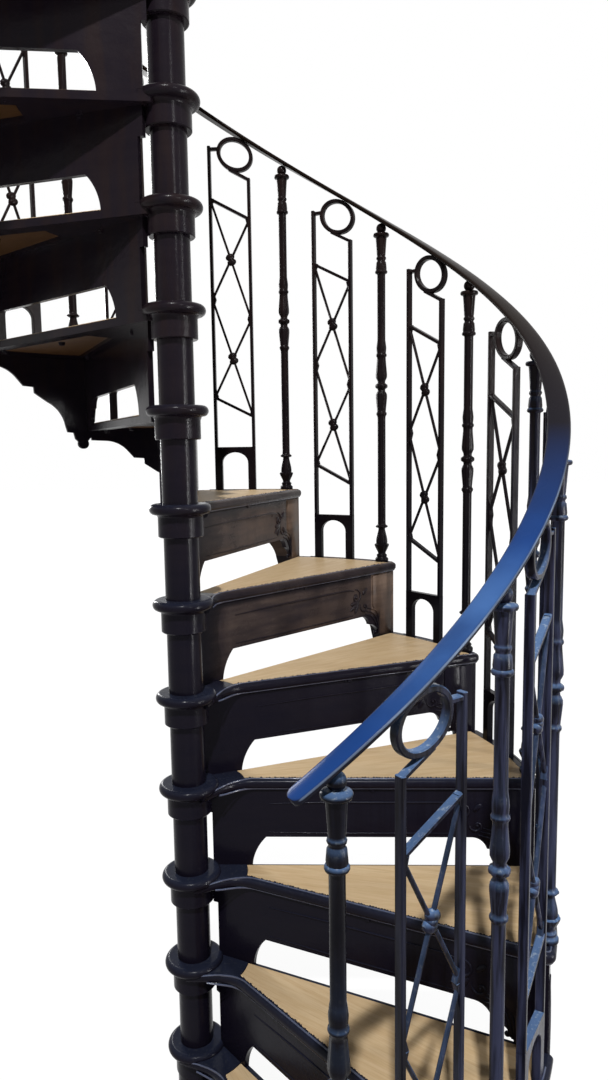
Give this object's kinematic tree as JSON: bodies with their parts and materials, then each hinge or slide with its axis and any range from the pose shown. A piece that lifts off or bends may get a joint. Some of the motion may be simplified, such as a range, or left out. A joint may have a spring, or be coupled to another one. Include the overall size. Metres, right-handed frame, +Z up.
{
  "type": "spiral staircase",
  "caption": "Cast-iron spiral staircase with wedge treads on a central newel, open risers, turned balusters, lattice rail panels and a flat blue handrail.",
  "frame": {"origin": "centre of the base flange's underside, on the floor and on the newel's axis", "axes": "+Z up along the newel; +X and +Y level, with the first tread's front 74 degrees clockwise from +X, seen from above"},
  "size_m": [1.533, 1.4953, 3.7255],
  "materials": {
    "casting_paint": "gloss, worn in places",
    "rail_paint": "gloss",
    "boards": "matt, unvarnished"
  },
  "bodies": {
    "root": {"base_flange": "casting_paint", "centre_post": "casting_paint", "newel_sleeves": "casting_paint", "newel_cap": "casting_paint", "tread_01": "casting_paint", "tread_02": "casting_paint", "tread_03": "casting_paint", "tread_04": "casting_paint", "tread_05": "casting_paint", "tread_06": "casting_paint", "tread_07": "casting_paint", "tread_08": "casting_paint", "tread_09": "casting_paint", "tread_10": "casting_paint", "tread_11": "casting_paint", "tread_12": "casting_paint", "tread_13": "casting_paint", "riser_01": "casting_paint", "riser_02": "casting_paint", "riser_03": "casting_paint", "riser_04": "casting_paint", "riser_05": "casting_paint", "riser_06": "casting_paint", "riser_07": "casting_paint", "riser_08": "casting_paint", "riser_09": "casting_paint", "riser_10": "casting_paint", "riser_11": "casting_paint", "riser_12": "casting_paint", "riser_13": "casting_paint", "rail_panel_01": "casting_paint", "rail_panel_02": "casting_paint", "rail_panel_03": "casting_paint", "rail_panel_04": "casting_paint", "rail_panel_05": "casting_paint", "rail_panel_06": "casting_paint", "rail_panel_07": "casting_paint", "rail_panel_08": "casting_paint", "rail_panel_09": "casting_paint", "rail_panel_10": "casting_paint", "rail_panel_11": "casting_paint", "rail_panel_12": "casting_paint", "rail_panel_13": "casting_paint", "tread_boards": "boards", "side_brackets": "casting_paint", "balusters": "casting_paint", "handrail": "rail_paint"}
  },
  "joints": []
}
